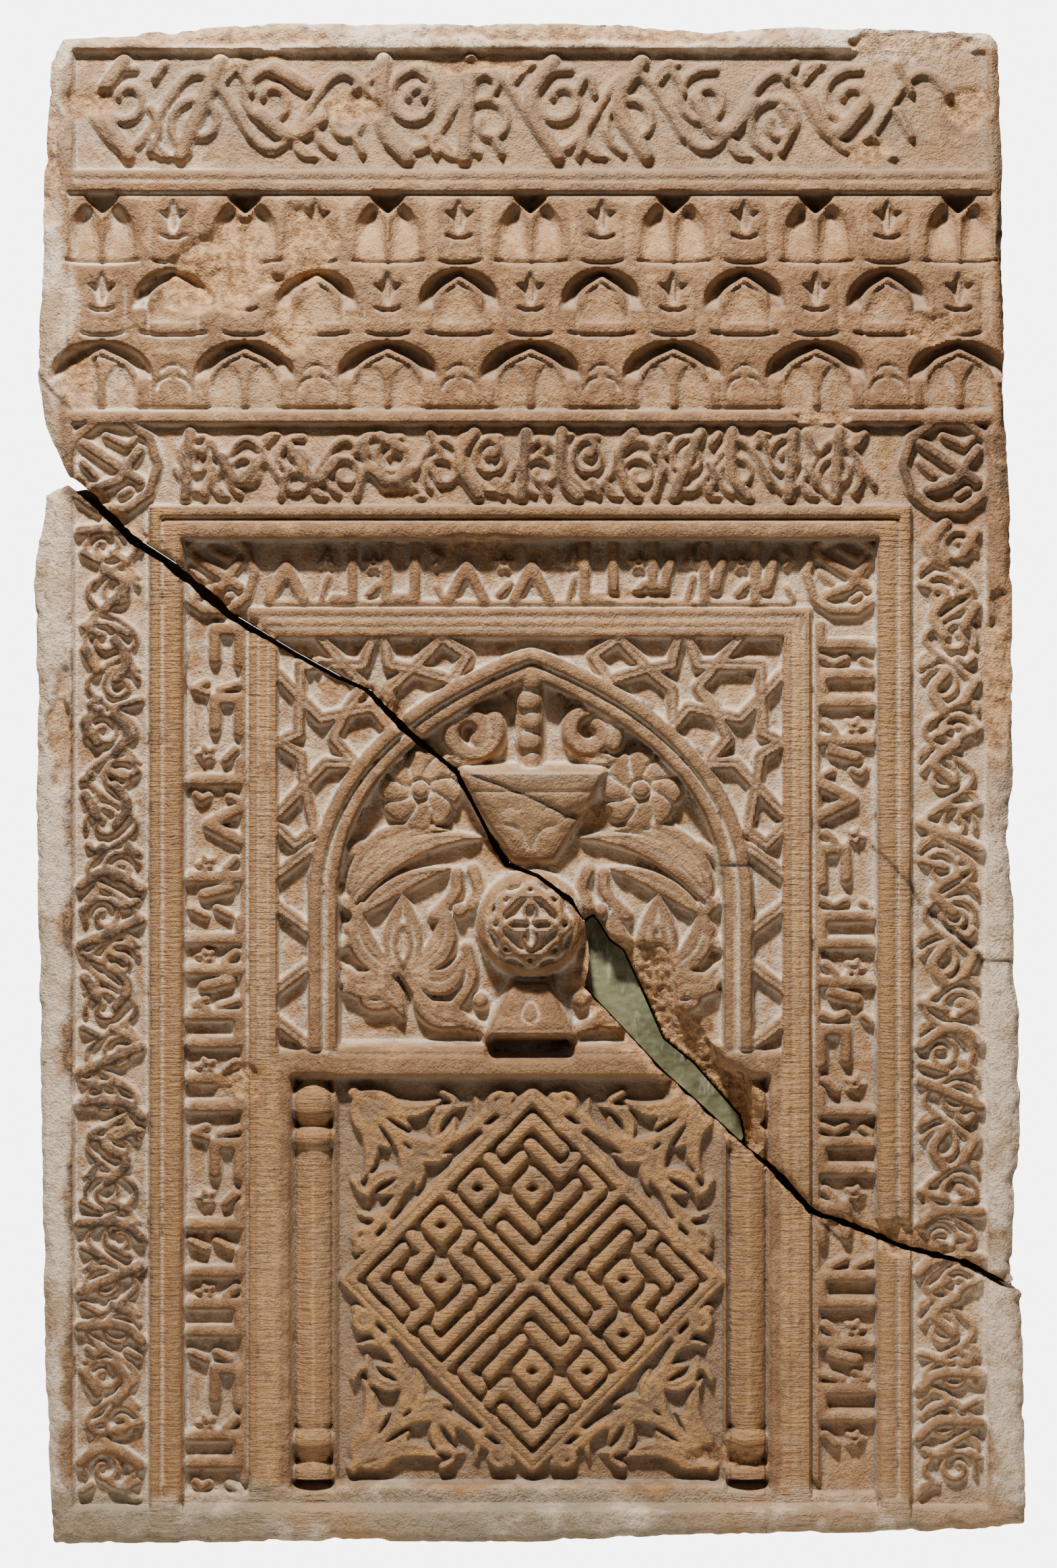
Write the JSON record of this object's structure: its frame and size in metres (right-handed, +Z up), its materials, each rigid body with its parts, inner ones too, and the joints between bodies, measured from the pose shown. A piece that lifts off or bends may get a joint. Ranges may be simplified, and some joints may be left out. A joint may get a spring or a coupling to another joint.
{
  "type": "stone relief panel",
  "caption": "Tall carved stone niche panel with vault cells, framing bands, a lamp, a ball and a key-pattern square, cracked through and worn.",
  "frame": {"origin": "middle of the flat back, on the wall plane", "axes": "+X to the right as the front is seen, +Y into the wall, +Z up; the carved front faces -Y"},
  "size_m": [1.028, 0.137, 1.575],
  "materials": {
    "stone_upper": "carved tan limestone, brown patina on the raised faces",
    "stone_lower": "carved tan limestone, lime residue in the grounds",
    "fill": "grey-green matt repair compound"
  },
  "bodies": {
    "root": {"upper_fragment": "stone_upper", "lower_fragment": "stone_lower", "resin_fill": "fill"}
  },
  "joints": []
}
